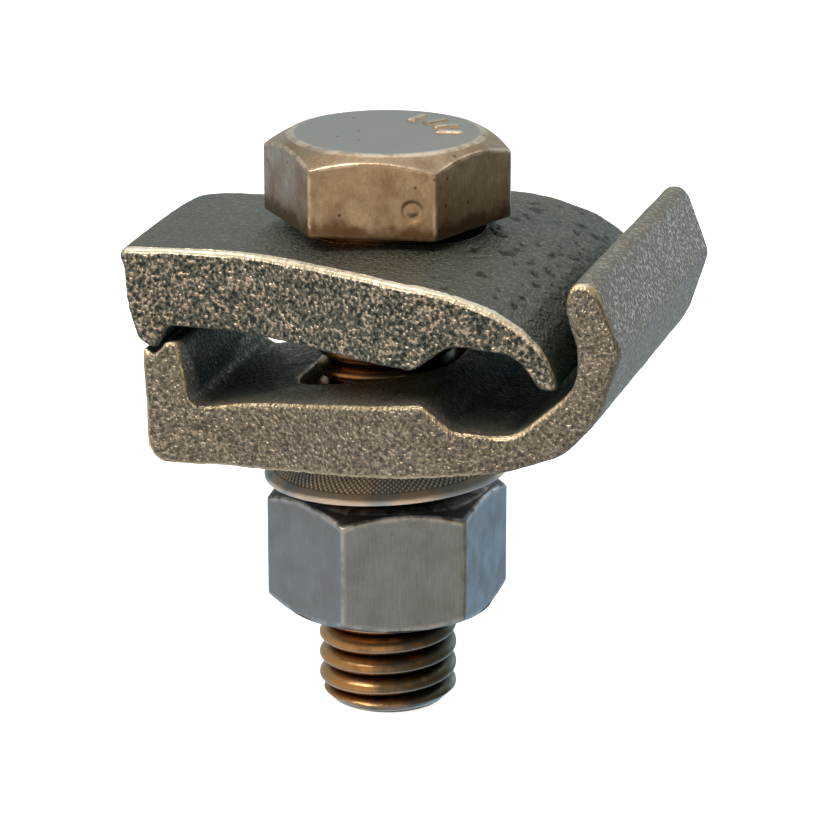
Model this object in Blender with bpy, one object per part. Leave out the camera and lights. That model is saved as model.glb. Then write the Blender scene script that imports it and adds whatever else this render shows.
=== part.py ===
"""Ground clamp: two cast bronze jaws drawn together by one hexagon bolt, a dished washer and a nut.

Metres, +Z up. Z runs along the bolt towards its head, Y along the two grooves, and X from the
flat-bar pocket to the cable hook. The origin is on the pocket's floor, where a bar is seated.
Lengths in the outlines are millimetres from the bolt's axis and the underside of its head.
"""
import math

import bmesh
import bpy
from mathutils import Matrix, Vector

MM = 0.001

# Two corners nearer than the first are one; a cutting tool runs past its solid by the second.
WELD = 0.001
OVERSHOOT = 1.0

# Bolt and nut: 1/2 inch, 13 threads to the inch.
THREAD_PITCH = 25.4 / 13
THREAD_CREST_RADIUS = 6.25
THREAD_DEPTH = 1.057
THREAD_CREST_FLAT = 0.125
THREAD_ROOT_FLAT = 0.25
THREAD_CLEARANCE = 0.3
THREAD_SEGMENTS = 28
THREAD_LENGTH = 32.6
THREAD_START = -0.3
SHANK_RADIUS = 6.32
BOLT_LENGTH = 45.3
POINT_CHAMFER = 1.1
ACROSS_FLATS = 19.05
HEAD_HEIGHT = 7.55
HEAD_TOP_RADIUS = 8.5
HEAD_TURN = math.radians(-80.4)
NUT_TOP = -24.8
NUT_HEIGHT = 11.15
NUT_TOP_RADIUS = 9.0
NUT_FOOT_RADIUS = 9.4
NUT_TURN = math.radians(-64.1)
NUT_MOUTH_RADIUS = 6.95
NUT_COUNTERSINK = 1.3
WRENCH_CHAMFER = math.radians(30)

# Dished washer, tilted between the level nut and the sloping jaw.
WASHER_RADIUS = 11.1
WASHER_HOLE_RADIUS = 7.0
WASHER_SHOULDER = 7.4
WASHER_RIM = 0.45
WASHER_SLOPE = math.radians(29)
WASHER_THICKNESS = 1.5
WASHER_HEIGHT = -23.65
WASHER_TILT = math.radians(3.2)

# Jaws, seen from above: narrow over the bar pocket, flaring to full width at the hook.
NARROW_HALF_WIDTH = 10.5
FULL_HALF_WIDTH = 17.3
FLARE_START = -13.0
FLARE_END = 9.0
FLARE_STEPS = 10
NEAR_CORNER_RADIUS = 1.0
FAR_CORNER_RADIUS = 4.0
CORNER_STEPS = 5
JAW_RIGHT = 27.0
JAW_CUT_TOP = 4.0
JAW_CUT_BOTTOM = -25.0
UPPER_LEFT = -21.75
LOWER_LEFT = -19.7
UPPER_CROWN = 0.9
CROWN_FOOT = -8.0
CROWN_BLEND = 4.0
CROWN_STATIONS = 9
FILLET_STEP = math.radians(18)

# The pocket's floor slopes up towards the hook.
FLOOR_TILT = math.radians(11)
SEAT_X = -11.0
SEAT_Z = -15.45
SLOT_HALF_WIDTH = 6.75
SLOT_LEFT = -6.75
SLOT_RIGHT = 8.6
SLOT_CORNER = 6.0
HOLE_HALF_X = 7.2
HOLE_HALF_Y = 6.9
HOLE_CORNER = 4.5
TOE_PIVOT = (-18.4, -10.75)

ROUND_SEGMENTS = 40
SMOOTH_ANGLE = math.radians(32)


def floor_height(x):
    """Height of the pocket's floor at a distance along X."""
    return SEAT_Z + (x - SEAT_X) * math.tan(FLOOR_TILT)


# Outline corners as (x, z, fillet radius), seen from the front, in order round the shape.
UPPER_OUTLINE = [
    (-21.0, -2.65, 1.5),
    (-12.0, -2.3, 12.0),
    (3.0, -1.45, 12.0),
    (9.5, -1.6, 10.0),
    (16.0, -3.55, 6.0),
    (18.9, -6.2, 2.5),
    (20.4, -9.7, 0.45),
    (18.5, -9.65, 0.8),
    (16.5, -6.95, 2.6),
    (10.6, -6.5, 2.6),
    (7.5, -9.1, 1.3),
    (5.5, -8.95, 1.5),
    (-16.95, -8.95, 0.3),
    (-17.65, -10.95, 0.35),
    (-18.5, -11.1, 0.35),
    (-19.75, -10.3, 0.5),
    (-20.7, -7.6, 2.0),
    (-20.95, -4.6, 1.0),
    (-21.55, -3.4, 0.3),
]
LOWER_OUTLINE = [
    (-19.5, -10.95, 0.3),
    (-18.1, -11.6, 0.3),
    (-17.2, -10.35, 0.5),
    (-15.9, -10.25, 0.4),
    (-14.85, floor_height(-14.85), 1.1),
    (6.3, floor_height(6.3), 3.0),
    (8.4, -11.75, 1.2),
    (11.0, -13.85, 1.6),
    (16.3, -13.95, 3.5),
    (21.5, -9.2, 3.0),
    (21.75, -6.1, 3.0),
    (20.65, -2.6, 1.5),
    (20.85, -0.1, 1.2),
    (23.1, 0.05, 1.2),
    (25.5, -5.9, 1.2),
    (23.6, -11.9, 4.0),
    (20.6, -15.35, 3.5),
    (15.5, -17.2, 6.0),
    (-8.0, -21.15, 9.0),
    (-19.1, -21.75, 2.2),
    (-19.25, -15.5, 6.0),
]


def make_material(name, color, roughness, metallic):
    """Principled surface of one colour."""
    material = bpy.data.materials.new(name)
    material.use_nodes = True
    shader = material.node_tree.nodes["Principled BSDF"]
    shader.inputs["Base Color"].default_value = (*color, 1)
    shader.inputs["Roughness"].default_value = roughness
    shader.inputs["Metallic"].default_value = metallic
    return material


def rounded(corners):
    """Points round an outline whose corners are (x, z, radius), each radius as an arc."""
    points = []
    count = len(corners)
    for index, (x, z, radius) in enumerate(corners):
        corner = Vector((x, z))
        before = (Vector(corners[index - 1][:2]) - corner).normalized()
        after = (Vector(corners[(index + 1) % count][:2]) - corner).normalized()
        half_angle = before.angle(after) / 2
        turn = math.pi - 2 * half_angle
        setback = radius / math.tan(half_angle)
        center = corner + (before + after).normalized() * radius / math.sin(half_angle)
        start = corner + before * setback - center
        side = 1 if before.x * after.y - before.y * after.x < 0 else -1
        steps = max(1, round(turn / FILLET_STEP))
        for step in range(steps + 1):
            angle = side * turn * step / steps
            cosine, sine = math.cos(angle), math.sin(angle)
            points.append(center + Vector((
                start.x * cosine - start.y * sine,
                start.x * sine + start.y * cosine,
            )))
    return points


def mesh_object(name, shape, origin=(0, 0, 0)):
    """Object made from a closed bmesh in millimetres, with its own origin at the point given."""
    bmesh.ops.remove_doubles(shape, verts=shape.verts, dist=WELD)
    bmesh.ops.recalc_face_normals(shape, faces=shape.faces)
    bmesh.ops.translate(shape, verts=shape.verts, vec=-Vector(origin))
    bmesh.ops.scale(shape, verts=shape.verts, vec=(MM, MM, MM))
    mesh = bpy.data.meshes.new(name)
    shape.to_mesh(mesh)
    shape.free()
    item = bpy.data.objects.new(name, mesh)
    item.location = Vector(origin) * MM
    bpy.context.scene.collection.objects.link(item)
    return item


def lofted(rings):
    """Closed bmesh through rings of points, with the first and the last ring as flat ends."""
    shape = bmesh.new()
    rows = [[shape.verts.new(point) for point in ring] for ring in rings]
    count = len(rows[0])
    for lower, upper in zip(rows, rows[1:]):
        for index in range(count):
            following = (index + 1) % count
            shape.faces.new((lower[index], lower[following], upper[following], upper[index]))
    shape.faces.new(rows[0])
    shape.faces.new(reversed(rows[-1]))
    return shape


def turned(profile):
    """Solid of revolution about Z through (radius, height) points, flat at both ends."""
    rings = []
    for radius, height in profile:
        angles = [2 * math.pi * step / ROUND_SEGMENTS for step in range(ROUND_SEGMENTS)]
        rings.append([(radius * math.cos(a), radius * math.sin(a), height) for a in angles])
    return lofted(rings)


def prism(outline, bottom, top):
    """Upright solid over an outline of (x, y) points."""
    return lofted([[(x, y, height) for x, y in outline] for height in (bottom, top)])


def cut(item, operation, tool):
    """Boolean of an object with a hidden tool that sits in the same place."""
    tool.hide_render = True
    tool.display_type = "WIRE"
    tool.parent = item
    tool.matrix_parent_inverse = Matrix.Translation(-item.location)
    modifier = item.modifiers.new(f"{operation.lower()}_{tool.name}", "BOOLEAN")
    modifier.operation = operation
    modifier.object = tool
    modifier.solver = "EXACT"


def finish(item, material, parent):
    """Give an object its surface and hang it on the clamp's frame."""
    item.data.materials.append(material)
    item.data.shade_smooth()
    item.data.set_sharp_from_angle(angle=SMOOTH_ANGLE)
    item.parent = parent
    return item


def half_width(x):
    """Half the jaws' width at a distance along X: an easy curve from narrow to full."""
    share = min(max((x - FLARE_START) / (FLARE_END - FLARE_START), 0), 1)
    eased = share * share * (3 - 2 * share)
    return NARROW_HALF_WIDTH + (FULL_HALF_WIDTH - NARROW_HALF_WIDTH) * eased


def side_plan(left, corner_radius):
    """One side of a jaw from above: (x, distance from mid-width) points from left to right."""
    points = []
    for step in range(CORNER_STEPS + 1):
        angle = math.pi / 2 * step / CORNER_STEPS
        x = left + corner_radius * (1 - math.cos(angle))
        points.append((x, NARROW_HALF_WIDTH - corner_radius * (1 - math.sin(angle))))
    for step in range(FLARE_STEPS + 1):
        x = FLARE_START + (FLARE_END - FLARE_START) * step / FLARE_STEPS
        points.append((x, half_width(x)))
    points.append((JAW_RIGHT, FULL_HALF_WIDTH))
    return points


def jaw_plan(left):
    """A jaw's outline from above: tight near corner and wide far corner at its left end."""
    near_side = [(x, -y) for x, y in side_plan(left, NEAR_CORNER_RADIUS)]
    far_side = side_plan(left, FAR_CORNER_RADIUS)
    return near_side + list(reversed(far_side))


def crown_lift(y, height):
    """How far the upper jaw's back rises at mid-width; its underside stays flat."""
    share = min(max((height - CROWN_FOOT) / CROWN_BLEND, 0), 1)
    return UPPER_CROWN * share * (1 - (y / FULL_HALF_WIDTH) ** 2)


def jaw(name, corners, left, hole, origin=(0, 0, 0), crowned=False):
    """Cast jaw: an outline swept along the grooves, with a bolt hole, trimmed to its plan."""
    reach = FULL_HALF_WIDTH + OVERSHOOT
    stations = CROWN_STATIONS if crowned else 1
    outline = rounded(corners)
    rings = []
    for step in range(stations + 1):
        y = reach * (2 * step / stations - 1)
        rings.append([(x, y, z + crowned * crown_lift(y, z)) for x, z in outline])
    item = mesh_object(name, lofted(rings), origin)
    hole_tool = prism(hole, JAW_CUT_BOTTOM, JAW_CUT_TOP)
    cut(item, "DIFFERENCE", mesh_object(f"{name}_hole", hole_tool))
    plan_tool = prism(jaw_plan(left), JAW_CUT_BOTTOM, JAW_CUT_TOP)
    cut(item, "INTERSECT", mesh_object(f"{name}_plan", plan_tool))
    return item


def rounded_hole(left, right, half_y, corner):
    """Outline of a hole with rounded corners, from above."""
    corners = [(left, -half_y), (right, -half_y), (right, half_y), (left, half_y)]
    return [tuple(point) for point in rounded([(x, y, corner) for x, y in corners])]


def upper_jaw(material, frame):
    """Bridge that rocks on its toe: flat pad on the bar, arched finger over the cable."""
    slot = rounded_hole(SLOT_LEFT, SLOT_RIGHT, SLOT_HALF_WIDTH, SLOT_CORNER)
    pivot = (TOE_PIVOT[0], 0, TOE_PIVOT[1])
    item = jaw("upper_jaw", UPPER_OUTLINE, UPPER_LEFT, slot, pivot, crowned=True)
    return finish(item, material, frame)


def lower_jaw(material, frame):
    """Base with the bar pocket, the bolt hole and the cable hook."""
    hole = rounded_hole(-HOLE_HALF_X, HOLE_HALF_X, HOLE_HALF_Y, HOLE_CORNER)
    item = jaw("lower_jaw", LOWER_OUTLINE, LOWER_LEFT, hole)
    return finish(item, material, frame)


def hexagon(name, bottom, top, turn, profile):
    """Hexagonal prism whose corners are turned down by the profile's chamfers."""
    corner_radius = ACROSS_FLATS / math.sqrt(3)
    angles = [turn + math.radians(60 * step) for step in range(6)]
    outline = [(corner_radius * math.sin(a), -corner_radius * math.cos(a)) for a in angles]
    item = mesh_object(name, prism(outline, bottom, top))
    cut(item, "INTERSECT", mesh_object(f"{name}_chamfers", turned(profile)))
    return item


def thread(name, crest_radius, bottom, top):
    """Right-hand helical thread as a closed rod, a little longer than the span asked for."""
    root_radius = crest_radius - THREAD_DEPTH
    flank = (1 - THREAD_CREST_FLAT - THREAD_ROOT_FLAT) / 2
    steps = [
        (0, root_radius),
        (THREAD_ROOT_FLAT, root_radius),
        (THREAD_ROOT_FLAT + flank, crest_radius),
        (THREAD_ROOT_FLAT + flank + THREAD_CREST_FLAT, crest_radius),
    ]
    first_turn = math.floor(bottom / THREAD_PITCH) - 1
    last_turn = math.ceil(top / THREAD_PITCH) + 1
    shape = bmesh.new()
    columns = []
    for segment in range(THREAD_SEGMENTS):
        share = segment / THREAD_SEGMENTS
        angle = 2 * math.pi * share
        column = []
        for turn in range(first_turn, last_turn):
            for offset, radius in steps:
                height = (turn + offset + share + THREAD_START) * THREAD_PITCH
                column.append(shape.verts.new((radius * math.cos(angle), radius * math.sin(angle), height)))
        columns.append(column)
    for left, right in zip(columns, columns[1:]):
        for row in range(len(left) - 1):
            shape.faces.new((left[row], right[row], right[row + 1], left[row + 1]))
    left, right, rise = columns[-1], columns[0], len(steps)
    for row in range(len(left) - 1 - rise):
        shape.faces.new((left[row], right[row + rise], right[row + rise + 1], left[row + 1]))
    bmesh.ops.recalc_face_normals(shape, faces=shape.faces)
    end_rims = bmesh.ops.holes_fill(shape, edges=[edge for edge in shape.edges if edge.is_boundary], sides=0)
    bmesh.ops.poke(shape, faces=end_rims["faces"])
    return mesh_object(name, shape)


def hex_bolt(material, frame):
    """Hexagon head, plain shank and a real helical thread with a chamfered point."""
    drop = (ACROSS_FLATS - HEAD_TOP_RADIUS) * math.tan(WRENCH_CHAMFER)
    profile = [
        (ACROSS_FLATS, -OVERSHOOT),
        (ACROSS_FLATS, HEAD_HEIGHT - drop),
        (HEAD_TOP_RADIUS, HEAD_HEIGHT),
    ]
    item = hexagon("hex_bolt", 0, HEAD_HEIGHT, HEAD_TURN, profile)
    thread_top = THREAD_LENGTH - BOLT_LENGTH
    shank_end = (THREAD_CREST_RADIUS - THREAD_DEPTH, thread_top - OVERSHOOT)
    shank = [(SHANK_RADIUS, OVERSHOOT), (SHANK_RADIUS, thread_top), shank_end]
    cut(item, "UNION", mesh_object("bolt_shank", turned(shank)))
    rod = thread("bolt_thread", THREAD_CREST_RADIUS, -BOLT_LENGTH, thread_top)
    wide = THREAD_CREST_RADIUS + OVERSHOOT
    bevel = POINT_CHAMFER + OVERSHOOT
    point = [
        (wide, thread_top + OVERSHOOT / 2),
        (wide, bevel - BOLT_LENGTH),
        (wide - bevel, -BOLT_LENGTH),
    ]
    cut(rod, "INTERSECT", mesh_object("bolt_point", turned(point)))
    cut(item, "UNION", rod)
    return finish(item, material, frame)


def hex_nut(material, frame):
    """Double-chamfered nut with an internal thread that meshes with the bolt's."""
    foot = NUT_TOP - NUT_HEIGHT
    slope = math.tan(WRENCH_CHAMFER)
    wide = ACROSS_FLATS / math.sqrt(3) + OVERSHOOT
    profile = [
        (NUT_FOOT_RADIUS, foot),
        (wide, foot + (wide - NUT_FOOT_RADIUS) * slope),
        (wide, NUT_TOP - (wide - NUT_TOP_RADIUS) * slope),
        (NUT_TOP_RADIUS, NUT_TOP),
    ]
    item = hexagon("hex_nut", foot, NUT_TOP, NUT_TURN, profile)
    bore_radius = THREAD_CREST_RADIUS + THREAD_CLEARANCE
    cut(item, "DIFFERENCE", thread("nut_thread", bore_radius, foot, NUT_TOP))
    depth = NUT_COUNTERSINK + OVERSHOOT
    spool = [
        (NUT_MOUTH_RADIUS + OVERSHOOT, NUT_TOP + OVERSHOOT),
        (NUT_MOUTH_RADIUS - depth, NUT_TOP - depth),
        (NUT_MOUTH_RADIUS - depth, foot + depth),
        (NUT_MOUTH_RADIUS + OVERSHOOT, foot - OVERSHOOT),
    ]
    cut(item, "DIFFERENCE", mesh_object("nut_countersinks", turned(spool)))
    return finish(item, material, frame)


def conical_washer(material, frame):
    """Dished ring: its crown faces the jaw and its hollow faces the nut."""
    slope = math.tan(WASHER_SLOPE)
    top = WASHER_RIM + (WASHER_RADIUS - WASHER_SHOULDER) * slope
    outside = [(WASHER_RADIUS, 0), (WASHER_RADIUS, WASHER_RIM), (WASHER_SHOULDER, top)]
    item = mesh_object("conical_washer", turned(outside))
    hollow_rise = top - WASHER_THICKNESS
    bore = [
        (WASHER_HOLE_RADIUS + (hollow_rise + OVERSHOOT) / slope, -OVERSHOOT),
        (WASHER_HOLE_RADIUS, hollow_rise),
        (WASHER_HOLE_RADIUS, top + OVERSHOOT),
    ]
    cut(item, "DIFFERENCE", mesh_object("washer_bore", turned(bore)))
    item.location = (0, 0, WASHER_HEIGHT * MM)
    item.rotation_euler = (0, -WASHER_TILT, 0)
    return finish(item, material, frame)


def build():
    """Make the whole clamp in an empty scene."""
    for item in list(bpy.data.objects):
        bpy.data.objects.remove(item)
    frame = bpy.data.objects.new("clamp_frame", None)
    frame.location = Vector((-SEAT_X, 0, -SEAT_Z)) * MM
    bpy.context.scene.collection.objects.link(frame)
    lower_jaw(make_material("lower_casting", (0.23, 0.17, 0.11), 0.5, 0.85), frame)
    upper_jaw(make_material("upper_casting", (0.19, 0.16, 0.12), 0.55, 0.8), frame)
    hex_bolt(make_material("bolt_bronze", (0.42, 0.28, 0.16), 0.32, 1.0), frame)
    conical_washer(make_material("washer_steel", (0.4, 0.36, 0.32), 0.4, 1.0), frame)
    hex_nut(make_material("nut_steel", (0.5, 0.47, 0.47), 0.35, 1.0), frame)


build()
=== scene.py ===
"""Looks of the ground clamp: grainy cast jaws, a tarnished bolt, a brushed nut and a knurled washer.

Metres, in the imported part's frame: X from the flat-bar pocket to the cable hook, Y along the
grooves, Z along the bolt towards its head. Sizes named below are millimetres unless they say so.
"""
import math

import bmesh
import bpy
import numpy as np
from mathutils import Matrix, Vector, noise
from mathutils.bvhtree import BVHTree


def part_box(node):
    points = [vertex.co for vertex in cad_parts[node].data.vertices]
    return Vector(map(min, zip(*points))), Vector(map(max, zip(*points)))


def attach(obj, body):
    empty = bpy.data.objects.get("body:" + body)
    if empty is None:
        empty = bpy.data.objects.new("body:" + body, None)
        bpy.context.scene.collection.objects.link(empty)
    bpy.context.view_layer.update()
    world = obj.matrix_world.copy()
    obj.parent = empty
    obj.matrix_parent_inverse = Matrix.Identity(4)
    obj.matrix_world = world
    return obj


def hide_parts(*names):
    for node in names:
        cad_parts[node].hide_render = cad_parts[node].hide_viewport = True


MM = 0.001

# Meshes: points within the weld are joined, so a ring this near the axis becomes one point. A
# point this nearly on a face counts as on it, and a rounded corner has this many steps.
WELD = 0.002
NEAR_AXIS = WELD / 2
NEARLY_ON = 0.1
ARC_STEPS = 5

# Where the bolt's own axis and the underside of its head lie in the part.
BOLT_ORIGIN = (11.0, 0.0, 15.45)

# Bolt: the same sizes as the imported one, with heights from the underside of its head.
PITCH = 25.4 / 13
CREST_RADIUS = 6.25
THREAD_DEPTH = 1.057
THREAD_ROUNDNESS = 2.1
THREAD_TOP = -12.7
THREAD_RUNOUT = 1.2
THREAD_ROWS = 24
THREAD_COLUMNS = 96
SHANK_RADIUS = 6.32
ROD_TOP = 1.0
ROD_END = -45.3
POINT_RADIUS = 5.16
SHARP_ANGLE = math.radians(40)

# Along the thread, in pitches: its start, its crest past the middle of a turn, its painted highlight
# line past the crest and how wide that is to each side.
THREAD_START = -0.3
THREAD_CREST = 0.125
THREAD_LINE = -0.17
THREAD_LINE_WIDTH = 0.06

# Share of the way from crest to root at which the thread starts to darken.
THREAD_ROOT = 0.55

# Hexagons. A higher sharpness gives less rounded corners; from a radius on the corners take wear and
# painted highlight.
ACROSS_FLATS = 19.05
HEX_SHARPNESS = 110
CORNER_START = 10.86
CORNER_FULL = 10.91
CHAMFER_SLOPE = math.tan(math.radians(30))

# Head, with ticks on its top and a dent in its front face, placed across and up that face.
HEAD_HEIGHT = 7.55
HEAD_TOP_RADIUS = 8.5
HEAD_TURN = math.radians(-80.4)
TICK_HEIGHT = 0.22
TICK_RADIUS = 5.5
TICK_LENGTH = 2.1
TICK_WIDTH = 0.55
TICK_SOFTNESS = 0.2
TICK_ANGLES = [math.radians(angle) for angle in (12, 34, 56, 78)]
DENT_PLACE = (3.45, 2.65)
DENT_RADIUS = 1.0
DENT_DEPTH = 0.16
DENT_LEAN = 1.6

# Nut. The mouth of its bore is wider than the thread by a little and narrows as a cone.
NUT_TOP = -24.8
NUT_HEIGHT = 11.15
NUT_TOP_RADIUS = 9.0
NUT_FOOT_RADIUS = 9.4
NUT_TURN = math.radians(-64.1)
NUT_COUNTERSINK = 1.3
NUT_MOUTH = 0.5
BORE_CLEARANCE = 0.12
BORE_ROWS = 96

# Washer. The knurl's grooves are cut in and down by these shares of their depth.
WASHER_RADIUS = 11.1
WASHER_HOLE_RADIUS = 7.0
WASHER_SHOULDER = 7.4
WASHER_RIM = 0.45
WASHER_SLOPE = math.tan(math.radians(29))
WASHER_THICKNESS = 1.5
WASHER_HEIGHT = -23.65
WASHER_TILT = math.radians(3.2)
KNURL_COUNT = 120
KNURL_COLUMNS = 8
KNURL_ROWS = 6
KNURL_START = 10.3
KNURL_DEPTH = 0.17
KNURL_SHARPNESS = 1.5
KNURL_INWARD = 0.48
KNURL_DOWN = 0.87
PLAIN_EDGE = 0.5

# Castings: the size of their small faces, and how far a point stands out where it is fully worn.
VOXEL = 0.25
WEAR_FULL = 0.16

# Smoothing: how far a point goes to its neighbours' middle in a round, as a share. Then the rounds
# that find worn edges, bands and faces, and those that soften a corner and blend that in.
SMOOTHING_STEP = 0.5
WEAR_REACH = 10
BAND_REACH = 20
FACING_REACH = 3
SOFTENING = 26
SOFTENING_BLEND = 8

# Softened corners: how much a face's turn outwards and sideways counts, from which turn the corner
# softens, and over how much of X.
SOFT_OUTWARD = 3
SOFT_SIDEWAYS = 4
SOFT_START = 0.4
SOFT_FADE = 3

# Front faces, by how far they look along Y.
FRONT_START = 0.45
FRONT_SPAN = 0.4

# Painted highlight bands along the upper edges: over how much of X they come in, how far up and
# sideways a face has to look, and how much bright edge colour is left where it looks down, as painted
# shade.
BAND_FADE = 2.0
BAND_START = 0.2
BAND_SPAN = 0.2
BAND_LEVEL = 0.5
BAND_LEAST = 0.35

# Grain of the castings: its sizes, how deep it is on the sides and on worn edges, broad waves.
COARSE_GRAIN = 1.1
FINE_GRAIN = 0.55
COARSE_SHARE = 0.6
GRAIN_SINK = 0.6
SIDE_GRAIN = 0.35
EDGE_CALM = 0.75
WAVE_SIZE = 5.0
WAVE_HEIGHT = 0.06

# Pits on top of the upper jaw: their size and depth, where noise is high enough for them, how far
# up a face has to look, and the share of their half length in which they fade at both ends.
PIT_SIZE = 1.2
PIT_DEPTH = 0.16
PIT_QUANTILES = (0.82, 0.92)
PIT_UPRIGHT = 4 / 6
PIT_UPRIGHT_SPAN = 1 / 6
PIT_FADE = 0.25
PIT_DARKNESS = 0.75

# Rays that measure how closed in a point is, and any direction that no large face looks along.
SHELTER_RAYS = 10
SHELTER_REACH = 14.0
SHELTER_LIFT = 0.45
ASKEW = (0.31, 0.79, 0.53)

# Dark colours: castings' grain and hollows, painted shade in their closed-in places, specks on machined
# faces.
GRAIN_DARK = (0.02, 0.024, 0.02)
HOLLOW_DARK = (0.012, 0.014, 0.011)
PAINTED_SHADE_DARK = (0.014, 0.04, 0.032)
SPECK_DARK = (0.03, 0.025, 0.02)

# Camera: it looks at a point on the jaws' middle plane.
CAMERA_PLACE = (102.655, -294.269, 96.296)
CAMERA_AIM = (13.388, 0.0, -2.845)
CAMERA_NEAREST = 10
LENS = 157.64
SENSOR = 36.0

FLOOR_SIZE = 6000
FLOOR_HEIGHT = -29.9
FLOOR_GLOW = 0.85

# Sky colours as (position from -1 to 1, colour): front to back, left to right, below to above.
SKY_STRENGTH = 1.0
BACKDROP_STRENGTH = 1.1
SKY_DEPTH = (
    (-1.0, (0.95, 0.89, 0.79)),
    (-0.2, (0.72, 0.7, 0.67)),
    (0.45, (0.52, 0.69, 0.85)),
    (1.0, (0.62, 0.82, 1.0)),
)
SKY_ACROSS = (
    (-1.0, (1.0, 1.0, 1.0)),
    (0.5, (0.95, 0.95, 0.95)),
    (0.8, (0.56, 0.46, 0.31)),
    (1.0, (0.4, 0.37, 0.33)),
)
SKY_HEIGHT = (
    (-1.0, (0.7, 0.72, 0.75)),
    (-0.22, (0.88, 0.9, 0.92)),
    (0.02, (0.82, 0.71, 0.57)),
    (1.0, (0.63, 0.6, 0.55)),
)


def mesh_from_grid(name, points, closed_rows, closed_columns=True):
    """Mesh over a grid of points in millimetres: columns go round, rows go along the profile."""
    columns, rows = points.shape[:2]
    faces = []
    for column in range(columns if closed_columns else columns - 1):
        this, following = column * rows, (column + 1) % columns * rows
        for row in range(rows if closed_rows else rows - 1):
            after = (row + 1) % rows
            faces.append((this + row, following + row, following + after, this + after))
    mesh = bpy.data.meshes.new(name)
    mesh.from_pydata((points.reshape(-1, 3) * MM).tolist(), [], faces)
    return mesh


def vertex_array(mesh, field):
    """A mesh's vertex positions or normals as rows of three numbers."""
    values = np.empty(len(mesh.vertices) * 3, np.float32)
    mesh.vertices.foreach_get(field, values)
    return values.reshape(-1, 3).astype(float)


def set_points(mesh, points):
    """Move a mesh's vertices to new places in metres."""
    mesh.vertices.foreach_set("co", points.astype(np.float32).ravel())
    mesh.update()


def set_shares(mesh, name, values):
    """Store one number per vertex for the shader to read."""
    layer = mesh.attributes.new(name, "FLOAT", "POINT")
    layer.data.foreach_set("value", np.asarray(values, np.float32).ravel())


def tidy_mesh(mesh):
    """Join doubled points, face every normal outwards and shade the mesh smooth."""
    shape = bmesh.new()
    shape.from_mesh(mesh)
    bmesh.ops.remove_doubles(shape, verts=shape.verts, dist=WELD * MM)
    bmesh.ops.recalc_face_normals(shape, faces=shape.faces)
    shape.to_mesh(mesh)
    shape.free()
    mesh.shade_smooth()


def place(name, mesh, body, material, replaced=None, tilt=0.0, origin=BOLT_ORIGIN):
    """Make the piece, set it in the part and hang it on its body."""
    item = bpy.data.objects.new(name, mesh)
    bpy.context.scene.collection.objects.link(item)
    item.location = Vector(origin) * MM
    item.rotation_euler = (0, -tilt, 0)
    mesh.materials.append(material)
    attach(item, body)
    if replaced:
        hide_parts(replaced)


def soft_profile(corners):
    """Points (radius, height, edge share) along an open profile whose corners are rounded.

    Each corner is (radius, height, rounding, divisions of the straight run that follows it).
    """
    knots = []
    for index, (radius, height, rounding, _) in enumerate(corners):
        here = np.array((radius, height), float)
        start = end = here
        if rounding:
            before = np.array(corners[index - 1][:2]) - here
            after = np.array(corners[index + 1][:2]) - here
            start = here + rounding * before / np.linalg.norm(before)
            end = here + rounding * after / np.linalg.norm(after)
        knots.append((start, here, end))
    rows = []
    for index, (start, here, end) in enumerate(knots):
        rounding, divisions = corners[index][2:]
        if rounding:
            for share in np.linspace(0, 1, ARC_STEPS + 1):
                point = (1 - share) ** 2 * start + 2 * share * (1 - share) * here + share**2 * end
                rows.append((*point, 1.0))
        else:
            rows.append((*here, 0.0))
        if index + 1 < len(knots):
            following = knots[index + 1][0]
            for share in np.linspace(0, 1, divisions + 1)[1:-1]:
                rows.append((*(end + share * (following - end)), 0.0))
    return rows


def turned(name, columns, profile_at, closed_rows=False):
    """Body round Z whose rounded profile may change with the angle; it keeps its edge shares."""
    points, edges = [], []
    for column in range(columns):
        angle = 2 * math.pi * column / columns
        rows = np.array(soft_profile(profile_at(angle)))
        radius = rows[:, 0]
        points.append(np.stack((radius * math.cos(angle), radius * math.sin(angle), rows[:, 1]), 1))
        corner = np.clip((radius - CORNER_START) / (CORNER_FULL - CORNER_START), 0, 1)
        edges.append(np.maximum(rows[:, 2], corner))
    mesh = mesh_from_grid(name, np.array(points), closed_rows)
    set_shares(mesh, "edge", edges)
    return mesh


def hexagon_radius(angle, turn):
    """Distance from the axis to a hexagon with slightly rounded corners."""
    total = 0.0
    for side in range(6):
        facing = turn - math.pi / 2 + math.radians(60 * side + 30)
        total += max(math.cos(angle - facing), 0) ** HEX_SHARPNESS
    return ACROSS_FLATS / 2 / total ** (1 / HEX_SHARPNESS)


def crest_offset(height, angle):
    """Pitches from the nearest crest, from -0.5 to 0.5, at a height and an angle round the bolt."""
    return (height / PITCH - angle / (2 * math.pi) - THREAD_START - THREAD_CREST) % 1 - 0.5


def thread_radius(height, angle, clearance=0.0):
    """Radius of the rounded right-hand thread at a height and an angle round the bolt."""
    from_crest = 2 * abs(crest_offset(height, angle))
    return CREST_RADIUS + clearance - THREAD_DEPTH * from_crest**THREAD_ROUNDNESS


def raise_ticks(points):
    """Raise short radial ticks on the head's top; return how raised each point is, from 0 to 1."""
    rises = np.zeros(len(points))
    for index, point in enumerate(points):
        x, y, z = point
        radius, angle = math.hypot(x, y), math.atan2(y, x)
        if z > HEAD_HEIGHT - TICK_HEIGHT - NEARLY_ON and radius < HEAD_TOP_RADIUS:
            along = abs(radius - TICK_RADIUS) - TICK_LENGTH / 2
            turn = min(TICK_ANGLES, key=lambda tick: abs(tick - angle))
            across = abs(radius * (angle - turn)) - TICK_WIDTH / 2
            rise = 1 - min(max(max(along, across) / TICK_SOFTNESS, 0), 1)
            point[2] += TICK_HEIGHT * rise * rise * (3 - 2 * rise)
            rises[index] = rise
    return rises


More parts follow.
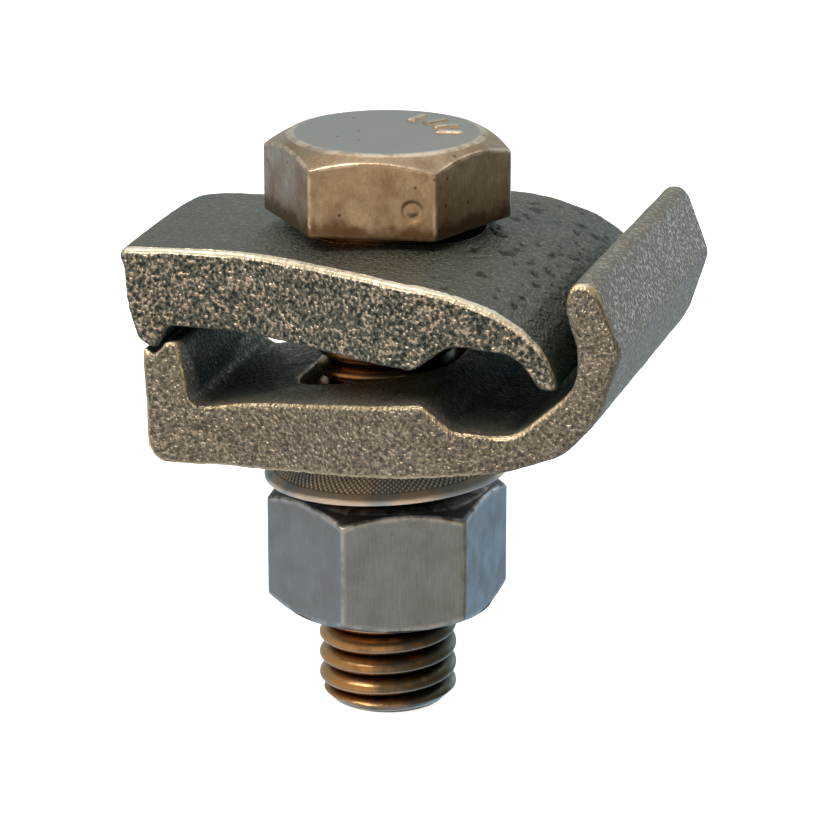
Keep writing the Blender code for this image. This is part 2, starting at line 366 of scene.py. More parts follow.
def dent_front(points):
    """Press a round groove into the head's front face."""
    facing = HEAD_TURN
    for point in points:
        x, y, z = point
        outward = x * math.cos(facing) + y * math.sin(facing)
        sideways = -x * math.sin(facing) + y * math.cos(facing) - DENT_PLACE[0]
        away = math.hypot(sideways, z - DENT_PLACE[1])
        if outward > ACROSS_FLATS / 2 - NEARLY_ON and away < DENT_RADIUS:
            groove = DENT_DEPTH * math.sin(math.pi * (away / DENT_RADIUS) ** DENT_LEAN)
            point[0] -= groove * math.cos(facing)
            point[1] -= groove * math.sin(facing)


def bolt_head(material):
    """Hexagon head with a chamfered crown, marked by a few raised ticks."""
    flat_top = HEAD_HEIGHT - TICK_HEIGHT

    def profile(angle):
        radius = hexagon_radius(angle, HEAD_TURN)
        shoulder = flat_top - (radius - HEAD_TOP_RADIUS) * CHAMFER_SLOPE
        return [
            (NEAR_AXIS, 0.0, 0, 4),
            (radius, 0.0, 0.3, 40),
            (radius, shoulder, 0.16, 8),
            (HEAD_TOP_RADIUS, flat_top, 0.3, 60),
            (NEAR_AXIS, flat_top, 0, 1),
        ]
    mesh = turned("bolt_head", 540, profile)
    points = vertex_array(mesh, "co") / MM
    rises = raise_ticks(points)
    dent_front(points)
    set_points(mesh, points * MM)
    edges = np.array([item.value for item in mesh.attributes["edge"].data])
    mesh.attributes["edge"].data.foreach_set("value", np.maximum(edges, rises).astype(np.float32))
    tidy_mesh(mesh)
    place("bolt_head", mesh, "bolt", material, "hex_bolt")


def trim(mesh, lowest, highest):
    """Weld a mesh, cut it at two heights in millimetres and close both ends."""
    shape = bmesh.new()
    shape.from_mesh(mesh)
    bmesh.ops.remove_doubles(shape, verts=shape.verts, dist=WELD * MM)
    for height, outward in ((lowest, -1), (highest, 1)):
        bmesh.ops.bisect_plane(
            shape,
            geom=shape.verts[:] + shape.edges[:] + shape.faces[:],
            plane_co=(0, 0, height * MM),
            plane_no=(0, 0, outward),
            clear_outer=True,
        )
    bmesh.ops.holes_fill(shape, edges=[edge for edge in shape.edges if edge.is_boundary], sides=0)
    bmesh.ops.recalc_face_normals(shape, faces=shape.faces)
    shape.to_mesh(mesh)
    shape.free()


def bolt_rod(material):
    """Plain shank and rolled thread as one helical surface, flat at both ends."""
    first = math.floor(ROD_END / PITCH) - 1
    last = math.ceil(ROD_TOP / PITCH) + 1
    steps = np.arange(first * THREAD_ROWS, last * THREAD_ROWS + 1) / THREAD_ROWS
    points, highlight_lines, roots = [], [], []
    for column in range(THREAD_COLUMNS + 1):
        angle = 2 * math.pi * column / THREAD_COLUMNS
        heights = (steps + column / THREAD_COLUMNS + THREAD_START) * PITCH
        for height in heights:
            threaded = thread_radius(height, angle)
            plain = min(max((height - THREAD_TOP) / THREAD_RUNOUT, 0), 1)
            radius = threaded + (SHANK_RADIUS - threaded) * plain
            radius = min(radius, POINT_RADIUS + max(height - ROD_END, 0))
            points.append((radius * math.cos(angle), radius * math.sin(angle), height))
            offset = crest_offset(height, angle)
            # Painted highlight line past the crest.
            highlight_lines.append((1 - abs(offset - THREAD_LINE) / THREAD_LINE_WIDTH) * (1 - plain))
            roots.append((2 * abs(offset) - THREAD_ROOT) / (1 - THREAD_ROOT) * (1 - plain))
    grid = np.array(points).reshape(THREAD_COLUMNS + 1, len(steps), 3)
    mesh = mesh_from_grid("bolt_rod", grid, closed_rows=False, closed_columns=False)
    set_shares(mesh, "edge", np.clip(highlight_lines, 0, 1))
    set_shares(mesh, "hollow", np.clip(roots, 0, 1))
    trim(mesh, ROD_END, ROD_TOP)
    mesh.shade_smooth()
    mesh.set_sharp_from_angle(angle=SHARP_ANGLE)
    place("bolt_rod", mesh, "bolt", material)


def nut(material):
    """Nut with both ends chamfered and a threaded bore that opens at its ends."""
    foot = NUT_TOP - NUT_HEIGHT
    mouth = CREST_RADIUS + BORE_CLEARANCE + NUT_MOUTH

    def profile(angle):
        radius = hexagon_radius(angle, NUT_TURN)
        corners = [
            (mouth, foot, 0, 2),
            (NUT_FOOT_RADIUS, foot, 0.25, 4),
            (radius, foot + (radius - NUT_FOOT_RADIUS) * CHAMFER_SLOPE, 0.2, 30),
            (radius, NUT_TOP - (radius - NUT_TOP_RADIUS) * CHAMFER_SLOPE, 0.2, 4),
            (NUT_TOP_RADIUS, NUT_TOP, 0.25, 2),
            (mouth, NUT_TOP, 0, 1),
        ]
        for row in range(1, BORE_ROWS):
            height = NUT_TOP - NUT_HEIGHT * row / BORE_ROWS
            sunk = min(NUT_TOP - height, height - foot) / NUT_COUNTERSINK
            cone = mouth - sunk * (mouth - CREST_RADIUS + THREAD_DEPTH)
            corners.append((max(thread_radius(height, angle, BORE_CLEARANCE), cone), height, 0, 1))
        return corners
    mesh = turned("nut", 360, profile, closed_rows=True)
    tidy_mesh(mesh)
    place("nut", mesh, "nut", material, "hex_nut")


def knurl_groove(share, angle):
    """Depth of two crossing sets of grooves at a share of the way up the cone and an angle."""
    around = KNURL_COUNT * angle / (2 * math.pi)
    along = share * KNURL_ROWS
    first = abs((around + along) % 1 - 0.5) * 2
    second = abs((around - along) % 1 - 0.5) * 2
    return KNURL_DEPTH * max(first, second) ** KNURL_SHARPNESS


def washer(material):
    """Dished washer: smooth rim, diamond knurl on the cone and a hollow underside."""
    top = WASHER_RIM + (WASHER_RADIUS - WASHER_SHOULDER) * WASHER_SLOPE
    hollow = top - WASHER_THICKNESS
    profile = soft_profile([
        (WASHER_HOLE_RADIUS, hollow, 0, 6),
        (WASHER_HOLE_RADIUS + hollow / WASHER_SLOPE, 0.0, 0, 2),
        (WASHER_RADIUS, 0.0, 0.15, 3),
        (WASHER_RADIUS, WASHER_RIM, 0.25, 56),
        (WASHER_SHOULDER, top, 0.1, 2),
        (WASHER_HOLE_RADIUS, top, 0, 1),
    ])
    columns = KNURL_COUNT * KNURL_COLUMNS
    points, edges = [], []
    for column in range(columns):
        angle = 2 * math.pi * column / columns
        for radius, height, _ in profile:
            share = (KNURL_START - radius) / (KNURL_START - WASHER_SHOULDER)
            edge = PLAIN_EDGE
            if height > WASHER_RIM and 0 < share < 1:
                groove = knurl_groove(share, angle)
                radius -= groove * KNURL_INWARD
                height -= groove * KNURL_DOWN
                edge = 1 - groove / KNURL_DEPTH
            points.append((radius * math.cos(angle), radius * math.sin(angle), height))
            edges.append(edge)
    mesh = mesh_from_grid("washer", np.array(points).reshape(columns, len(profile), 3), True)
    set_shares(mesh, "edge", edges)
    tidy_mesh(mesh)
    origin = (BOLT_ORIGIN[0], BOLT_ORIGIN[1], BOLT_ORIGIN[2] + WASHER_HEIGHT)
    place("washer", mesh, "washer", material, "conical_washer", WASHER_TILT, origin)


def smoothed(points, edges, rounds):
    """Values in three columns after rounds of averaging each point with its neighbours."""
    count = np.bincount(edges.ravel(), minlength=len(points))[:, None]
    for _ in range(rounds):
        total = np.empty_like(points)
        for axis in range(3):
            forth = np.bincount(edges[:, 0], points[edges[:, 1], axis], len(points))
            back = np.bincount(edges[:, 1], points[edges[:, 0], axis], len(points))
            total[:, axis] = forth + back
        points = points + SMOOTHING_STEP * (total / count - points)
    return points


def noise_field(points, size, offset):
    """Perlin noise of a given grain size in millimetres at every point."""
    scale = 1 / (size * MM)
    return np.array([noise.noise(Vector(point) * scale + offset) for point in points])


def climb(values, start, span):
    """0 up to a start, 1 from a span past it, and even in between."""
    return np.clip((values - start) / span, 0, 1)


def ray_fan():
    """Evenly spread directions over the half of a sphere above its middle."""
    golden = math.pi * (3 - math.sqrt(5))
    rays = []
    for ray in range(SHELTER_RAYS):
        height = (ray + 0.5) / SHELTER_RAYS
        flat = math.sqrt(1 - height * height)
        rays.append((flat * math.cos(golden * ray), flat * math.sin(golden * ray), height))
    return np.array(rays)


def shelter(points, normals, nodes):
    """How closed in each point is: the share of rays round its normal that soon meet a part."""
    trees = []
    for node in nodes:
        shape = bmesh.new()
        shape.from_mesh(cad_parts[node].data)
        trees.append(BVHTree.FromBMesh(shape))
        shape.free()
    sideways = np.cross(normals, ASKEW)
    sideways /= np.linalg.norm(sideways, axis=1)[:, None]
    upright = np.cross(normals, sideways)
    hits = np.zeros(len(points))
    starts = points + normals * (SHELTER_LIFT * MM)
    for ray in ray_fan():
        aims = ray[0] * sideways + ray[1] * upright + ray[2] * normals
        for index, (start, aim) in enumerate(zip(starts.tolist(), aims.tolist())):
            for tree in trees:
                if tree.ray_cast(start, aim, SHELTER_REACH * MM)[0] is not None:
                    hits[index] += 1
                    break
    return hits / SHELTER_RAYS


def voxel_mesh(name, node):
    """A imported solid's shape as a mesh of small even faces."""
    block = bpy.data.objects.new(f"{name}_block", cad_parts[node].data.copy())
    bpy.context.scene.collection.objects.link(block)
    remesh = block.modifiers.new("voxels", "REMESH")
    remesh.mode = "VOXEL"
    remesh.voxel_size = VOXEL * MM
    remesh.adaptivity = 0
    graph = bpy.context.evaluated_depsgraph_get()
    mesh = bpy.data.meshes.new_from_object(block.evaluated_get(graph))
    bpy.data.objects.remove(block)
    mesh.materials.clear()
    mesh.name = name
    return mesh


def soften_side(points, turning, edges, start):
    """Points whose outer corners are rounded more from one X on."""
    corner = np.minimum(turning[:, 0] * SOFT_OUTWARD, np.abs(turning[:, 1]) * SOFT_SIDEWAYS)
    share = climb(corner, SOFT_START, 1) * climb(points[:, 0] / MM, start, SOFT_FADE)
    rounder = smoothed(points, edges, SOFTENING)
    return points + smoothed(share[:, None].repeat(3, 1), edges, SOFTENING_BLEND) * (rounder - points)


def wear_and_highlight_shares(points, normals, turning, edges, highlight_band):
    """How worn and how hollow each point is: worn edges stand out of the smoothed shape; upper edges
    get a painted highlight band, and edges that look down keep less of their bright edge colour.
    """
    broad = smoothed(points, edges, WEAR_REACH)
    bulge = ((points - broad) * normals).sum(1) / MM / WEAR_FULL
    edge = np.clip(bulge, 0, 1)
    start, strength = highlight_band
    reached = strength * climb(points[:, 0] / MM, start, BAND_FADE)
    # Painted shade: edges that look down keep less of their bright colour.
    edge = edge * (1 - reached * (1 - np.clip(BAND_LEVEL + turning[:, 2], BAND_LEAST, 1)))
    # Painted highlight: a bright band on edges that look up and sideways.
    band = np.minimum(turning[:, 2], np.abs(turning[:, 1]))
    edge = np.maximum(edge, reached * climb(band, BAND_START, BAND_SPAN))
    return edge, np.clip(-bulge, 0, 1)


def top_pits(points, turning, edge, ends, offset):
    """How deep in a pit each point is, from 0 to 1: pits are on top between two values of X."""
    field = noise_field(points, PIT_SIZE, offset)
    few, fewest = np.quantile(field, PIT_QUANTILES)
    from_middle = np.abs(points[:, 0] / MM - sum(ends) / 2) / (ends[1] - ends[0]) * 2
    inside = climb(1 - from_middle, 0, PIT_FADE)
    level = climb(turning[:, 2], PIT_UPRIGHT, PIT_UPRIGHT_SPAN)
    return climb(field, few, fewest - few) * inside * level * (1 - edge)


def casting(name, node, body, material, rounding, grain, seed, highlight_band, softened=None, pitted=None):
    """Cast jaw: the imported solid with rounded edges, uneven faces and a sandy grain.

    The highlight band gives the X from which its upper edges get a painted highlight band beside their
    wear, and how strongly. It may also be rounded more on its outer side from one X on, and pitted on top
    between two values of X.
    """
    mesh = voxel_mesh(name, node)
    edges = np.array([edge.vertices[:] for edge in mesh.edges])
    points = smoothed(vertex_array(mesh, "co"), edges, rounding)
    if softened:
        turning = smoothed(vertex_array(mesh, "normal"), edges, BAND_REACH)
        points = soften_side(points, turning, edges, softened)
    set_points(mesh, points)

    normals = vertex_array(mesh, "normal")
    turning = smoothed(normals, edges, BAND_REACH)
    facing = smoothed(normals, edges, FACING_REACH)
    front = climb(np.abs(facing[:, 1]), FRONT_START, FRONT_SPAN)
    edge, hollow = wear_and_highlight_shares(points, normals, turning, edges, highlight_band)

    offset = Vector((seed, seed * 2.3, seed * 5.1))
    coarse = noise_field(points, COARSE_GRAIN, offset)
    fine = noise_field(points, FINE_GRAIN, offset * 1.7)
    waves = noise_field(points, WAVE_SIZE, offset * 3.1)
    depth = grain * (SIDE_GRAIN + (1 - SIDE_GRAIN) * front) * (1 - EDGE_CALM * edge)
    push = depth * (COARSE_SHARE * coarse + fine - GRAIN_SINK) + WAVE_HEIGHT * (waves - 0.5)
    if pitted:
        pits = top_pits(points, turning, edge, pitted, offset * 4.3)
        push -= PIT_DEPTH * pits
        hollow = np.maximum(hollow, PIT_DARKNESS * pits)
    points = np.clip(points + normals * (push * MM)[:, None], *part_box(node))
    set_points(mesh, points)
    mesh.shade_smooth()

    # Closed-in share, which drives the painted shade in recesses.
    closed_in = shelter(points, normals, ("upper_jaw", "lower_jaw"))
    closed_in = smoothed(closed_in[:, None].repeat(3, 1), edges, FACING_REACH)[:, 0]
    shares = {"edge": edge, "hollow": hollow, "closed_in": closed_in, "front": front}
    for key, values in shares.items():
        set_shares(mesh, key, values)
    place(name, mesh, body, material, node, origin=(0, 0, 0))


class Surface:
    """One Principled material, built from a few kinds of node."""

    def __init__(self, name, metallic, roughness):
        self.material = bpy.data.materials.new(name)
        self.material.use_nodes = True
        self.tree = self.material.node_tree
        self.shader = self.tree.nodes["Principled BSDF"]
        self.shader.inputs["Metallic"].default_value = metallic
        self.shader.inputs["Roughness"].default_value = roughness
        self.place = self.add("ShaderNodeTexCoord").outputs["Object"]

    def feed(self, socket, value):
        """Link a node's output to a socket, or set the socket to a value."""
        if isinstance(value, bpy.types.NodeSocket):
            self.tree.links.new(value, socket)
        else:
            socket.default_value = value

    def add(self, kind, inputs=None, **settings):
        """Add a node, set its properties, and fill its inputs with values or links."""
        made = self.tree.nodes.new(kind)
        for key, value in settings.items():
            setattr(made, key, value)
        for key, value in (inputs or {}).items():
            self.feed(made.inputs[key], value)
        return made

    def noise(self, size, detail=2.0, stretch=(1, 1, 1), shift=0.0):
        """Noise with spots of a given size in millimetres, stretched along the axes."""
        scaled = self.add("ShaderNodeMapping", {
            "Vector": self.place,
            "Scale": stretch,
            "Location": (shift,) * 3,
        })
        made = self.add("ShaderNodeTexNoise", {
            "Vector": scaled.outputs["Vector"],
            "Scale": 1 / (size * MM),
            "Detail": detail,
            "Roughness": 0.55,
        })
        return made.outputs["Fac"]

    def spots(self, size, shift=0.0):
        """Distance from scattered points whose spacing is a size in millimetres."""
        moved = self.add("ShaderNodeMapping", {"Vector": self.place, "Location": (shift,) * 3})
        made = self.add("ShaderNodeTexVoronoi", {
            "Vector": moved.outputs["Vector"],
            "Scale": 1 / (size * MM),
        })
        return made.outputs["Distance"]

    def share(self, name):
        """One of the mesh's stored shares."""
        return self.add("ShaderNodeAttribute", attribute_name=name).outputs["Fac"]

    def ramp(self, value, low, high, to_low=0.0, to_high=1.0):
        """Smooth step of a value between two limits."""
        made = self.add("ShaderNodeMapRange", {
            "Value": value,
            "From Min": low,
            "From Max": high,
            "To Min": to_low,
            "To Max": to_high,
        }, interpolation_type="SMOOTHSTEP")
        return made.outputs["Result"]

    def math(self, operation, first, second):
        """Arithmetic on two values."""
        made = self.add("ShaderNodeMath", {0: first, 1: second}, operation=operation)
        return made.outputs["Value"]

    def mix(self, share, first, second):
        """Blend of two colours by a share."""
        made = self.add("ShaderNodeMix", {0: share}, data_type="RGBA")
        for index, value in ((6, first), (7, second)):
            self.feed(made.inputs[index], (*value, 1) if isinstance(value, tuple) else value)
        return made.outputs[2]

    def parts(self, vector):
        """The X, Y and Z of a vector."""
        return self.add("ShaderNodeSeparateXYZ", {"Vector": vector}).outputs

    def bump(self, height, depth, below=None):
        """Bump of a depth in millimetres, over another bump if one is given."""
        inputs = {"Height": height, "Distance": depth * MM, "Strength": 1.0}
        if below:
            inputs["Normal"] = below
        return self.add("ShaderNodeBump", inputs).outputs["Normal"]

    def finish(self, color, roughness, normal, metallic=None):
        """Plug the results into the shader."""
        results = {"Base Color": color, "Roughness": roughness, "Normal": normal, "Metallic": metallic}
        for key, value in results.items():
            if value is not None:
                self.tree.links.new(value, self.shader.inputs[key])
        return self.material


def casting_surface(name, dark, light, wear_and_highlight, tint, shift, sand_size, front_glint, side_glint, pitting):
    """Patinated cast bronze: dark pits, grains with painted glints, edges bright with wear and painted
    highlight, and painted shade in closed-in places.
    """
    s = Surface(name, 0.85, 0.5)
    front, edge, hollow, closed_in = (s.share(key) for key in ("front", "edge", "hollow", "closed_in"))
    sand = s.noise(sand_size, 1.0, shift=shift)
    pits = s.spots(sand_size * 1.2, shift)
    dots = s.noise(1.3, 2.0, shift=shift + 5)
    patches = s.noise(6.0, 2.0, shift=shift)
    relief = s.math("SUBTRACT", sand, s.math("MULTIPLY", pits, 0.3))
    uneven = s.math("ADD", relief, s.math("MULTIPLY", dots, 0.25))
    # Painted glints: grain peaks made bright, more on front faces.
    glint = s.ramp(uneven, 0.47, 0.64)
    glinting = s.ramp(front, 0.0, 1.0, side_glint, front_glint)
    pocked = s.math("MULTIPLY", s.ramp(uneven, 0.42, 0.3), s.math("MULTIPLY", front, pitting))
    # Wear and painted highlight along the edges.
    wear_and_highlight_mask = s.ramp(s.math("ADD", edge, s.math("MULTIPLY", sand, 0.3)), 0.4, 0.8)
    sunk = s.ramp(hollow, 0.2, 0.9)
    # Painted shade in closed-in places, partly dark oxide.
    shaded = s.ramp(closed_in, 0.38, 0.82)

    color = s.mix(patches, dark, tint)
    color = s.mix(pocked, color, GRAIN_DARK)
    color = s.mix(s.math("MULTIPLY", glint, glinting), color, light)
    color = s.mix(s.math("MULTIPLY", wear_and_highlight_mask, 0.9), color, wear_and_highlight)
    color = s.mix(s.math("MULTIPLY", sunk, 0.75), color, HOLLOW_DARK)
    color = s.mix(s.math("MULTIPLY", shaded, 0.94), color, PAINTED_SHADE_DARK)

    roughness = s.ramp(relief, 0.2, 0.6, 0.58, 0.36)
    roughness = s.math("SUBTRACT", roughness, s.math("MULTIPLY", wear_and_highlight_mask, 0.04))
    roughness = s.math("ADD", roughness, s.math("MULTIPLY", shaded, 0.2))
    metallic = s.ramp(relief, 0.2, 0.5, 0.7, 0.95)
    calm = s.math("MULTIPLY", s.ramp(edge, 0.3, 0.9, 1.0, 0.2), s.ramp(front, 0.0, 1.0, 0.45, 1.0))
    normal = s.bump(s.math("MULTIPLY", relief, calm), 0.4)
    return s.finish(color, roughness, normal, metallic)


def brushed_surface(name, base, tarnish, bright, streak_size, stretch, streaking, roughness, shift,
                    speckling, crown, foot=None):
    """Machined metal: fine streaks, cloudy tarnish, edges bright with wear and painted highlight, a
    colour on upward faces that is a painted shadow on the nut, and a painted reflection of the jaw at the
    foot.

    The crown is its colour and how upright a face must be to start and to finish taking it.
    """
    s = Surface(name, 1.0, roughness)
    edge = s.share("edge")
    streaks = s.noise(streak_size, 3.0, stretch, shift)
    clouds = s.noise(2.6, 5.0, shift=shift + 3)
    specks = s.ramp(s.spots(1.7, shift), 0.06, 0.14, 1.0, 0.0)
    grain = s.noise(0.2, 2.0, shift=shift + 6)
    # Wear and painted highlight on rounded edges, hex corners and ticks.
    wear_and_highlight = s.math("MULTIPLY", edge, s.ramp(s.noise(1.3, 3.0, shift=shift + 8), 0.38, 0.6, 0.2, 1.0))

    color = s.mix(s.ramp(clouds, 0.34, 0.7), base, tarnish)
    color = s.mix(s.ramp(grain, 0.4, 0.65, 0.0, 0.4), color, tarnish)
    color = s.mix(s.ramp(streaks, 0.35, 0.75, 0.0, streaking), color, bright)
    # Colour on upward faces; on the nut it is a painted shadow of the washer.
    upright = s.parts(s.add("ShaderNodeNewGeometry").outputs["Normal"])["Z"]
    crown_color, leaning, level = crown
    color = s.mix(s.ramp(upright, leaning, level, 0.0, 0.85), color, crown_color)
    # Painted reflection of the bronze jaw at the foot, where edges also get less painted highlight.
    if foot:
        height = s.math("MULTIPLY", s.parts(s.place)["Z"], 1 / MM)
        uneven = s.math("ADD", height, s.ramp(clouds, 0.3, 0.7, 0.6, -0.6))
        color = s.mix(s.ramp(uneven, 1.9, 0.6, 0.0, 0.85), color, foot)
        wear_and_highlight = s.math("MULTIPLY", wear_and_highlight, s.ramp(height, 0.4, 1.0, 0.15, 1.0))
    color = s.mix(s.math("MULTIPLY", specks, speckling), color, SPECK_DARK)
    color = s.mix(s.math("MULTIPLY", wear_and_highlight, 0.85), color, bright)

    rough = s.ramp(clouds, 0.3, 0.7, roughness - 0.06, roughness + 0.08)
    rough = s.math("ADD", rough, s.math("MULTIPLY", streaks, 0.1))
    normal = s.bump(clouds, 0.05, s.bump(grain, 0.012, s.bump(streaks, 0.02)))
    return s.finish(color, rough, normal)


def thread_surface(name, base, tarnish, bright, root, shift):
    """Rolled thread: orange bronze with painted shade towards +X mixed into tarnish blotches, dark roots
    and painted highlight lines.
    """
    s = Surface(name, 1.0, 0.27)
    edge, hollow = s.share("edge"), s.share("hollow")
    clouds = s.noise(2.2, 4.0, shift=shift)
    # Painted shade: the tarnish colour grows towards +X, broken up by tarnish blotches.
    across = s.math("MULTIPLY", s.parts(s.place)["X"], 0.09 / MM)
    side_shade_and_tarnish = s.math("ADD", across, s.math("MULTIPLY", clouds, 1.6))
    color = s.mix(s.ramp(side_shade_and_tarnish, 0.5, 1.2), base, tarnish)
    color = s.mix(s.math("MULTIPLY", hollow, 0.9), color, root)
    # Painted highlight lines along the thread.
    color = s.mix(s.math("MULTIPLY", edge, 0.8), color, bright)
    return s.finish(color, s.ramp(clouds, 0.3, 0.7, 0.22, 0.4), s.bump(clouds, 0.06))


def knurled_surface(name, smooth, copper, crest, groove):
    """Washer metal: cool smooth rim, coppery knurl with painted highlight on crests and painted shade in
    grooves.
    """
    s = Surface(name, 0.75, 0.4)
    edge = s.share("edge")
    clouds = s.noise(4.5, 2.0, shift=14)
    color = s.mix(s.ramp(clouds, 0.4, 0.62), smooth, copper)
    # Painted shade in the knurl's grooves.
    color = s.mix(s.ramp(edge, 0.35, 0.05), color, groove)
    # Painted highlight on the knurl's crests.
    color = s.mix(s.ramp(edge, 0.55, 0.9), color, crest)
    return s.finish(color, s.ramp(clouds, 0.3, 0.7, 0.34, 0.46), s.bump(s.noise(0.15, 2.0), 0.015))


def floor_surface():
    """Matt white floor that glows a little, so that its shadows stay pale."""
    s = Surface("floor_white", 0.0, 0.9)
    s.shader.inputs["Base Color"].default_value = (0.95, 0.95, 0.95, 1)
    s.shader.inputs["Emission Color"].default_value = (1, 1, 1, 1)
    s.shader.inputs["Emission Strength"].default_value = FLOOR_GLOW
    return s.material


def add_floor():
    """Wide floor that reflections don't see."""
    half = FLOOR_SIZE / 2 * MM
    corners = [(-half, -half, 0), (half, -half, 0), (half, half, 0), (-half, half, 0)]
    mesh = bpy.data.meshes.new("floor")
    mesh.from_pydata(corners, [], [(0, 1, 2, 3)])
    mesh.materials.append(floor_surface())
    floor = bpy.data.objects.new("floor", mesh)
    floor.location = (0, 0, FLOOR_HEIGHT * MM)
    floor.visible_glossy = False
    bpy.context.scene.collection.objects.link(floor)


def aim_at(item, start, target):
    """Stand a light or a camera at a place and face it to a point."""
    bpy.context.scene.collection.objects.link(item)
    item.location = Vector(start) * MM
    direction = Vector(target) - Vector(start)
    item.rotation_euler = direction.to_track_quat("-Z", "Y").to_euler()


def area_light(name, start, target, side, power, color):
    """Soft square light that faces a point."""
    data = bpy.data.lights.new(name, "AREA")
    data.shape = "SQUARE"
    data.size = side * MM
    data.energy = power
    data.color = color
    aim_at(bpy.data.objects.new(name, data), start, target)


def add_camera():
    """Camera at the photograph's viewing angle."""
    data = bpy.data.cameras.new("camera")
    data.lens = LENS
    data.sensor_width = SENSOR
    data.clip_start = CAMERA_NEAREST * MM
    camera = bpy.data.objects.new("camera", data)
    aim_at(camera, CAMERA_PLACE, CAMERA_AIM)
    bpy.context.scene.camera = camera


def sky():
    """White behind the part; in reflections warm in front, blue behind, dim at the right."""
    world = bpy.data.worlds.new("studio")
    bpy.context.scene.world = world
    world.use_nodes = True
    tree = world.node_tree
    tree.nodes.clear()
    link = tree.links.new

    def ramp(axis, stops):
        """Colour along one axis of the sky, from -1 to 1."""
        share = tree.nodes.new("ShaderNodeMapRange")
        share.inputs["From Min"].default_value = -1
        link(parts.outputs[axis], share.inputs["Value"])
        colors = tree.nodes.new("ShaderNodeValToRGB")
        for _ in stops[2:]:
            colors.color_ramp.elements.new(0.5)
        for element, (position, color) in zip(colors.color_ramp.elements, stops):
            element.position = (position + 1) / 2
            element.color = (*color, 1)
        link(share.outputs["Result"], colors.inputs["Fac"])
        return colors.outputs["Color"]

    def background(strength):
        """Even light from every side."""
        light = tree.nodes.new("ShaderNodeBackground")
        light.inputs["Strength"].default_value = strength
        light.inputs["Color"].default_value = (1, 1, 1, 1)
        return light

    coordinates = tree.nodes.new("ShaderNodeTexCoord")
    parts = tree.nodes.new("ShaderNodeSeparateXYZ")
    link(coordinates.outputs["Generated"], parts.inputs[0])
    color = ramp("Y", SKY_DEPTH)
    for factor in (ramp("X", SKY_ACROSS), ramp("Z", SKY_HEIGHT)):
        product = tree.nodes.new("ShaderNodeMix")
        product.data_type = "RGBA"
        product.blend_type = "MULTIPLY"
        product.inputs[0].default_value = 1
        link(color, product.inputs[6])
        link(factor, product.inputs[7])
        color = product.outputs[2]
    felt, seen = background(SKY_STRENGTH), background(BACKDROP_STRENGTH)
    link(color, felt.inputs["Color"])
    path = tree.nodes.new("ShaderNodeLightPath")
    blend = tree.nodes.new("ShaderNodeMixShader")
    link(path.outputs["Is Camera Ray"], blend.inputs[0])
    link(felt.outputs[0], blend.inputs[1])
    link(seen.outputs[0], blend.inputs[2])
    link(blend.outputs[0], tree.nodes.new("ShaderNodeOutputWorld").inputs["Surface"])


def studio():
    """Floor, soft lights, a white sky behind the part and the camera."""
    bpy.context.scene.view_settings.view_transform = "Standard"
    add_floor()
    sky()
    area_light("key", (-150, -165, 370), (8, 0, 0), 250, 1.35, (1.0, 0.95, 0.88))
    area_light("overhead", (40, 200, 380), (8, 0, 0), 420, 0.35, (1.0, 1.0, 1.0))
    area_light("blue_side", (170, 330, 30), (8, 0, -5), 160, 0.1, (0.6, 0.78, 1.0))
    add_camera()


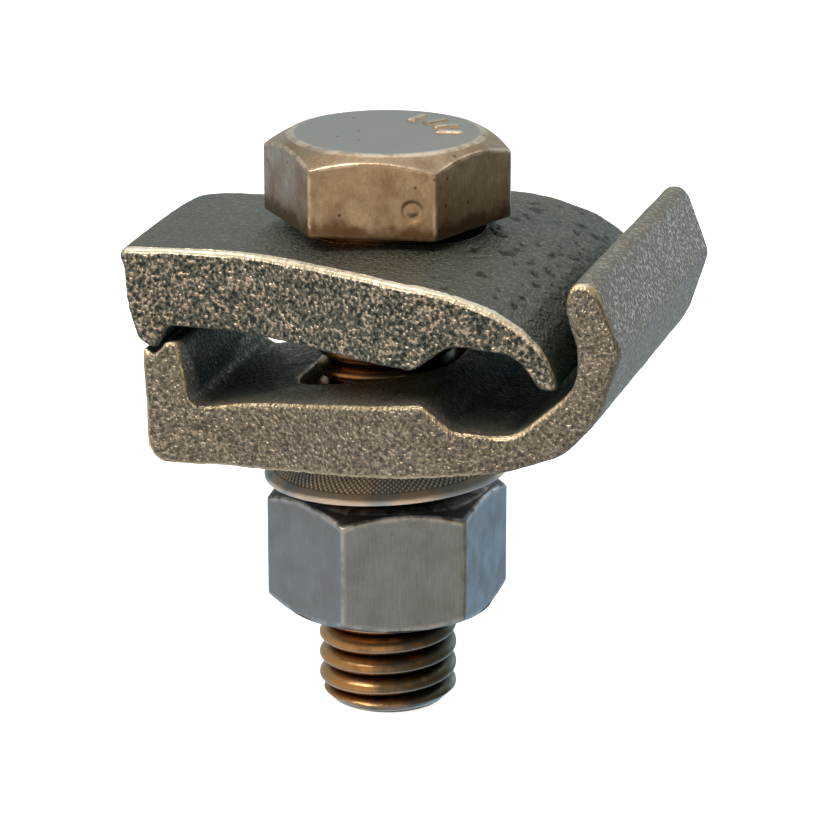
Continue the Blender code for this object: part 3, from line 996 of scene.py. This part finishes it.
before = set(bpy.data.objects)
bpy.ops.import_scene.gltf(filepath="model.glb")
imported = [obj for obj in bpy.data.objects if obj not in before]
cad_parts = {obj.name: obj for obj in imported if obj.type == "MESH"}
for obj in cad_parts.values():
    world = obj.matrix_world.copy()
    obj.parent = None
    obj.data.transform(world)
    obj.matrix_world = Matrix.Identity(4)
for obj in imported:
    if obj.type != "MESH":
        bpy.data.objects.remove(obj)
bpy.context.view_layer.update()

upper_metal = casting_surface(
    "upper_casting",
    dark=(0.1, 0.115, 0.1),
    # Light is the painted glint colour of grain peaks.
    light=(0.8, 0.66, 0.52),
    # Colour of the edges' wear and painted highlight.
    wear_and_highlight=(0.82, 0.73, 0.56),
    tint=(0.15, 0.145, 0.115),
    shift=0.0,
    sand_size=0.36,
    front_glint=0.68,
    side_glint=0.12,
    pitting=0.9,
)
lower_metal = casting_surface(
    "lower_casting",
    dark=(0.19, 0.175, 0.145),
    # Light is the painted glint colour of grain peaks.
    light=(0.64, 0.54, 0.42),
    # Colour of the edges' wear and painted highlight.
    wear_and_highlight=(0.74, 0.6, 0.4),
    tint=(0.24, 0.21, 0.165),
    shift=7.0,
    sand_size=0.33,
    front_glint=0.62,
    side_glint=0.52,
    pitting=0.6,
)
head_metal = brushed_surface(
    "bolt_bronze",
    base=(0.48, 0.35, 0.22),
    tarnish=(0.31, 0.2, 0.115),
    bright=(0.82, 0.65, 0.5),
    streak_size=0.28,
    stretch=(1, 1, 0.35),
    streaking=0.16,
    roughness=0.33,
    shift=0.0,
    speckling=0.7,
    crown=((0.4, 0.39, 0.37), 0.95, 0.99),
    # Foot colour: painted reflection of the jaw.
    foot=(0.13, 0.07, 0.027),
)
rod_metal = thread_surface(
    "thread_bronze",
    base=(0.6, 0.32, 0.13),
    # Tarnish, also used as the painted shade on the +X side.
    tarnish=(0.13, 0.115, 0.08),
    bright=(1.0, 0.92, 0.8),
    root=(0.02, 0.013, 0.009),
    shift=4.0,
)
nut_metal = brushed_surface(
    "nut_metal",
    base=(0.305, 0.325, 0.34),
    tarnish=(0.275, 0.288, 0.3),
    bright=(0.55, 0.55, 0.55),
    streak_size=0.25,
    stretch=(1, 1, 0.1),
    streaking=0.1,
    roughness=0.33,
    shift=9.0,
    speckling=0.15,
    # Near-black top: painted shadow of the washer.
    crown=((0.025, 0.014, 0.006), 0.3, 0.5),
)
washer_metal = knurled_surface(
    "washer_metal",
    smooth=(0.36, 0.41, 0.45),
    # Copper and crest are set light as painted light under the jaw; groove is painted shade.
    copper=(0.72, 0.6, 0.49),
    crest=(1.0, 0.97, 0.92),
    groove=(0.12, 0.1, 0.085),
)

casting(
    "upper_casting", "upper_jaw", "upper_jaw", upper_metal,
    rounding=9, grain=0.12, seed=1.0, highlight_band=(-20, 1), pitted=(17, 34),
)
casting(
    "lower_casting", "lower_jaw", "lower_jaw", lower_metal,
    rounding=6, grain=0.08, seed=2.0, highlight_band=(24, 0.8), softened=27,
)
bolt_head(head_metal)
bolt_rod(rod_metal)
nut(nut_metal)
washer(washer_metal)
studio()
